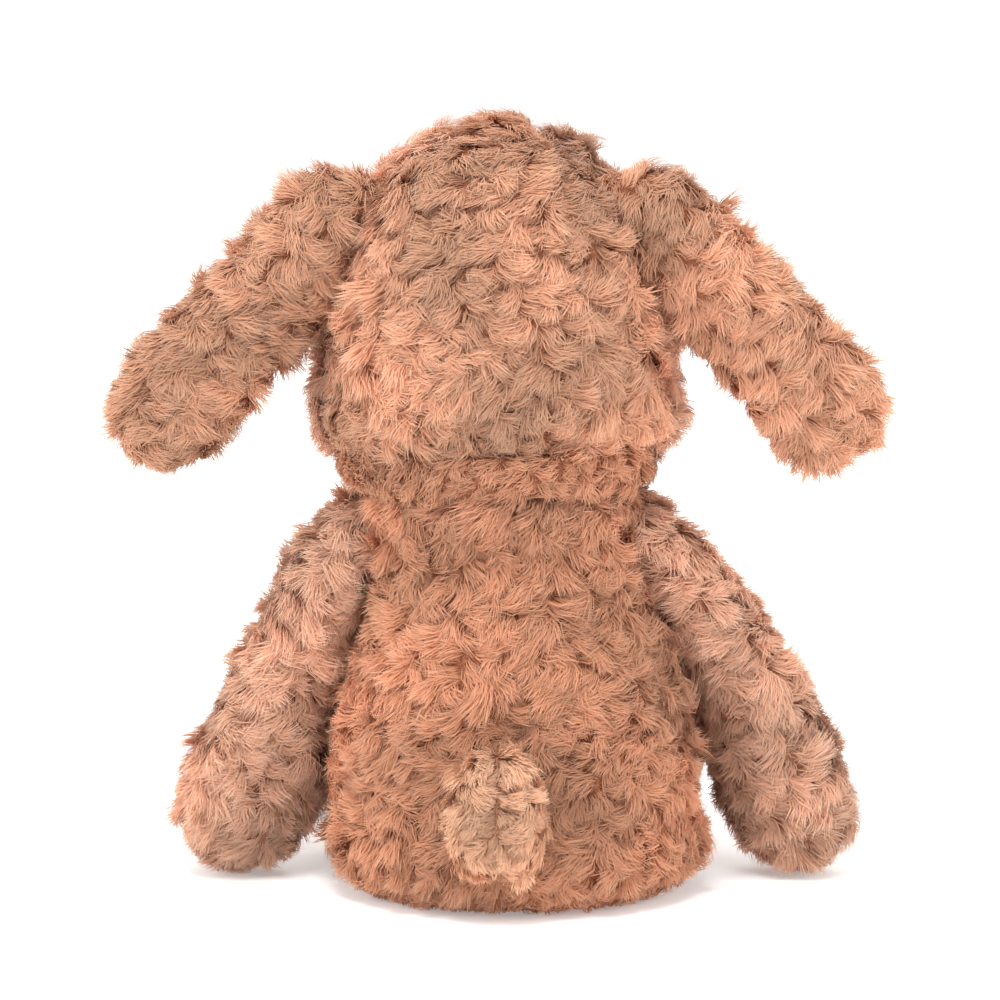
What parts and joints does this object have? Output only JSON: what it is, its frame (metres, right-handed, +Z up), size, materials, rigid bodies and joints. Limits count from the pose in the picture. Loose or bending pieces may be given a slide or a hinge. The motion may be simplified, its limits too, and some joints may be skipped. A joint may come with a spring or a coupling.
{
  "type": "plush dog",
  "caption": "Sitting plush dog with shaggy fur, flat floppy ears, round paws and a pompom tail; head, ears, arms, legs and tail flex at their seams.",
  "frame": {"origin": "middle of the overall box, on the floor that the toy sits on", "axes": "+Z up, the dog faces -Y, and its left side is +X"},
  "size_m": [0.2958, 0.2434, 0.293],
  "materials": {
    "fur": "matte",
    "pale_fur": "matte",
    "short_plush": "matte",
    "stuffing": "matte",
    "pouch_cloth": "matte",
    "eye_plastic": "gloss",
    "nose_plastic": "satin",
    "washer_plastic": "satin",
    "thread": "matte"
  },
  "bodies": {
    "torso": {"back_skin_left": "fur", "back_skin_right": "fur", "belly_skin": "fur", "seat_skin": "fur", "body_stuffing": "stuffing", "bean_pouch": "pouch_cloth"},
    "neck": {"neck_roll": "stuffing"},
    "head": {"head_back_skin": "fur", "head_side_skin_left": "fur", "head_side_skin_right": "fur", "crown_skin": "fur", "chin_skin": "fur", "head_stuffing": "stuffing", "muzzle_skin": "short_plush", "muzzle_stuffing": "stuffing", "nose": "nose_plastic", "nose_washer": "washer_plastic", "mouth_thread": "thread", "eye_left": "eye_plastic", "eye_washer_left": "washer_plastic", "eye_right": "eye_plastic", "eye_washer_right": "washer_plastic"},
    "ear_left": {"ear_back_skin_left": "fur", "ear_front_skin_left": "fur", "ear_wadding_left": "stuffing"},
    "ear_right": {"ear_back_skin_right": "fur", "ear_front_skin_right": "fur", "ear_wadding_right": "stuffing"},
    "arm_left": {"arm_outer_skin_left": "fur", "arm_inner_skin_left": "fur", "arm_stuffing_left": "stuffing"},
    "leg_left": {"leg_top_skin_left": "fur", "leg_under_skin_left": "fur", "foot_sole_left": "short_plush", "leg_stuffing_left": "stuffing"},
    "arm_right": {"arm_outer_skin_right": "fur", "arm_inner_skin_right": "fur", "arm_stuffing_right": "stuffing"},
    "leg_right": {"leg_top_skin_right": "fur", "leg_under_skin_right": "fur", "foot_sole_right": "short_plush", "leg_stuffing_right": "stuffing"},
    "tail": {"tail_skin_left": "pale_fur", "tail_skin_right": "pale_fur", "tail_stuffing": "stuffing"}
  },
  "joints": [
    {"name": "neck_turn", "type": "hinge", "parent": "torso", "child": "neck", "pos_m": [0, 0.03583, 0.167], "axis": [0, 0, 1], "range_deg": [-30, 30], "stiffness_Nm_per_rad": 0.4},
    {"name": "head_nod", "type": "hinge", "parent": "neck", "child": "head", "pos_m": [0, 0.03583, 0.167], "axis": [1, 0, 0], "range_deg": [-12, 12], "stiffness_Nm_per_rad": 0.9},
    {"name": "ear_left_flap", "type": "hinge", "parent": "head", "child": "ear_left", "pos_m": [0.06072, 0.05083, 0.24685], "axis": [0.4129, 0, -0.9108], "range_deg": [-20, 24], "stiffness_Nm_per_rad": 0.06},
    {"name": "ear_right_flap", "type": "hinge", "parent": "head", "child": "ear_right", "pos_m": [-0.06072, 0.05083, 0.24685], "axis": [0.4129, 0, 0.9108], "range_deg": [-20, 24], "stiffness_Nm_per_rad": 0.06},
    {"name": "arm_left_swing", "type": "hinge", "parent": "torso", "child": "arm_left", "pos_m": [0.05274, 0.03583, 0.141], "axis": [-1, 0, 0], "range_deg": [-20, 65], "stiffness_Nm_per_rad": 0.2},
    {"name": "arm_right_swing", "type": "hinge", "parent": "torso", "child": "arm_right", "pos_m": [-0.05507, 0.03583, 0.141], "axis": [-1, 0, 0], "range_deg": [-20, 65], "stiffness_Nm_per_rad": 0.2},
    {"name": "leg_left_lift", "type": "hinge", "parent": "torso", "child": "leg_left", "pos_m": [0.031, -0.02417, 0.027], "axis": [-1, 0, 0], "range_deg": [0, 20], "stiffness_Nm_per_rad": 0.25},
    {"name": "leg_right_lift", "type": "hinge", "parent": "torso", "child": "leg_right", "pos_m": [-0.045, -0.02417, 0.027], "axis": [-1, 0, 0], "range_deg": [0, 20], "stiffness_Nm_per_rad": 0.25},
    {"name": "tail_wag", "type": "hinge", "parent": "torso", "child": "tail", "pos_m": [0, 0.09475, 0.05367], "axis": [0, 1, 0], "range_deg": [-18, 18], "stiffness_Nm_per_rad": 0.03}
  ]
}
